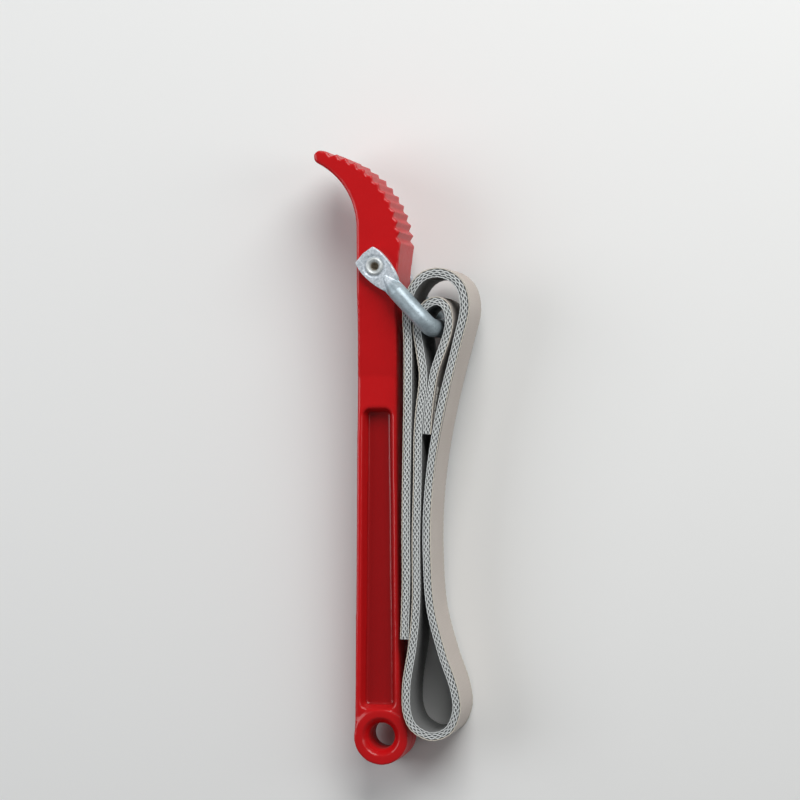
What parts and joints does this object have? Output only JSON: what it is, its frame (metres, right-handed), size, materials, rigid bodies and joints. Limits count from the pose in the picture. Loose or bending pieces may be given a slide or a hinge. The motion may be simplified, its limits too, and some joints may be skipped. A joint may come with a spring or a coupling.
{
  "type": "strap wrench",
  "caption": "Strap wrench lying on its side: a cast handle with a curved toothed horn, a steel shackle on a rivet, and a woven strap sewn to the shackle and folded beside the handle.",
  "frame": {"origin": "centre of the hang hole, halfway through the handle", "axes": "+Y runs along the handle from the hang hole to the toothed horn, +Z is along the hang hole and the rivet, out of the side that shows the rolled rivet end, and +X is the side where the strap lies"},
  "size_m": [0.055, 0.2153, 0.0392],
  "materials": {
    "handle_paint": "gloss",
    "zinc_steel": "zinc plated, semi-bright",
    "rivet_steel": "zinc plated, bright",
    "webbing": "woven",
    "thread": "twisted thread"
  },
  "bodies": {
    "handle": {"handle": "handle_paint"},
    "shackle": {"shackle": "zinc_steel", "pivot_rivet": "rivet_steel"},
    "strap": {"strap": "webbing", "eye_stitching": "thread"}
  },
  "joints": [
    {"name": "shackle_pivot", "type": "hinge", "parent": "handle", "child": "shackle", "pos_m": [-0.0007, 0.1644, 0], "axis": [0, 0, 1], "range_deg": [0, 58]},
    {"name": "strap_swing", "type": "hinge", "parent": "shackle", "child": "strap", "pos_m": [0.01889, 0.14302, 0], "axis": [0, 0, 1], "range_deg": [0, 14]}
  ]
}
